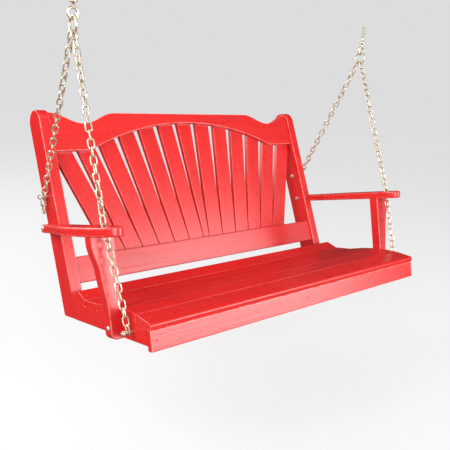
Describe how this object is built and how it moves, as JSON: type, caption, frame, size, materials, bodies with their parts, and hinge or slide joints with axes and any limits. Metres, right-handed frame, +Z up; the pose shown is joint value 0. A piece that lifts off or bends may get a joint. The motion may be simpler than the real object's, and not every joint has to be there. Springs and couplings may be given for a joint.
{
  "type": "porch swing seat",
  "caption": "Painted timber porch swing for two: contoured slatted seat, fan back under an arched crest rail, flat arms on flared posts, hung by chains from two ceiling eyes",
  "frame": {"origin": "in the ceiling plane, midway between the two ceiling eyes", "axes": "+X to the right seen from the front, +Y to the rear of the seat, +Z up; the seat hangs level from side to side, tipped back as it rests"},
  "size_m": [1.365, 0.8281, 1.061],
  "materials": {
    "red_paint": "satin red enamel over sanded softwood",
    "zinc_chain": "weathered zinc plate",
    "bolt_steel": "dull zinc-plated steel",
    "painted_screw": "screw heads under the same red enamel"
  },
  "bodies": {
    "ceiling_hangers": {"left_ceiling_eye": "zinc_chain", "right_ceiling_eye": "zinc_chain"},
    "left_tail_link_1": {"left_tail_link_1": "zinc_chain"},
    "left_tail_link_2": {"left_tail_link_2": "zinc_chain"},
    "right_tail_link_1": {"right_tail_link_1": "zinc_chain"},
    "right_tail_link_2": {"right_tail_link_2": "zinc_chain"},
    "swing": {"apron_screws": "painted_screw", "arm_bolts": "bolt_steel", "arm_screws": "painted_screw", "back_screws": "painted_screw", "back_slat_01": "red_paint", "back_slat_02": "red_paint", "back_slat_03": "red_paint", "back_slat_04": "red_paint", "back_slat_05": "red_paint", "back_slat_06": "red_paint", "back_slat_07": "red_paint", "back_slat_08": "red_paint", "back_slat_09": "red_paint", "back_slat_10": "red_paint", "back_slat_11": "red_paint", "back_slat_12": "red_paint", "back_slat_13": "red_paint", "centre_rail": "red_paint", "chain_bolt_nuts": "bolt_steel", "chain_bolt_washers": "bolt_steel", "crest_rail": "red_paint", "frame_nuts": "bolt_steel", "frame_washers": "bolt_steel", "front_apron": "red_paint", "front_chain_bolts": "bolt_steel", "front_chain_left": "zinc_chain", "front_chain_right": "zinc_chain", "lap_screws": "painted_screw", "left_arm_post": "red_paint", "left_armrest": "red_paint", "left_ring": "zinc_chain", "left_side_rail": "red_paint", "left_upright": "red_paint", "lower_back_rail": "red_paint", "post_bolts": "bolt_steel", "rear_chain_bolts": "bolt_steel", "rear_chain_left": "zinc_chain", "rear_chain_right": "zinc_chain", "right_arm_post": "red_paint", "right_armrest": "red_paint", "right_ring": "zinc_chain", "right_side_rail": "red_paint", "right_upright": "red_paint", "seat_screws": "painted_screw", "seat_slat_1": "red_paint", "seat_slat_2": "red_paint", "seat_slat_3": "red_paint", "seat_slat_4": "red_paint", "seat_slat_5": "red_paint", "seat_slat_6": "red_paint"}
  },
  "joints": [
    {"name": "swing_pivot", "type": "hinge", "parent": "ceiling_hangers", "child": "swing", "pos_m": [0, 0, -0.048], "axis": [1, 0, 0], "range_deg": [-35, 35]},
    {"name": "left_tail_swing", "type": "hinge", "parent": "swing", "child": "left_tail_link_1", "pos_m": [-0.62362, 0.23804, -0.61686], "axis": [1, 0, 0], "range_deg": [-40, 40]},
    {"name": "left_tail_end_swing", "type": "hinge", "parent": "left_tail_link_1", "child": "left_tail_link_2", "pos_m": [-0.62362, 0.23804, -0.6454], "axis": [1, 0, 0], "range_deg": [-40, 40]},
    {"name": "right_tail_swing", "type": "hinge", "parent": "swing", "child": "right_tail_link_1", "pos_m": [0.62362, 0.23804, -0.61686], "axis": [1, 0, 0], "range_deg": [-40, 40]},
    {"name": "right_tail_end_swing", "type": "hinge", "parent": "right_tail_link_1", "child": "right_tail_link_2", "pos_m": [0.62362, 0.23804, -0.6454], "axis": [1, 0, 0], "range_deg": [-40, 40]}
  ]
}
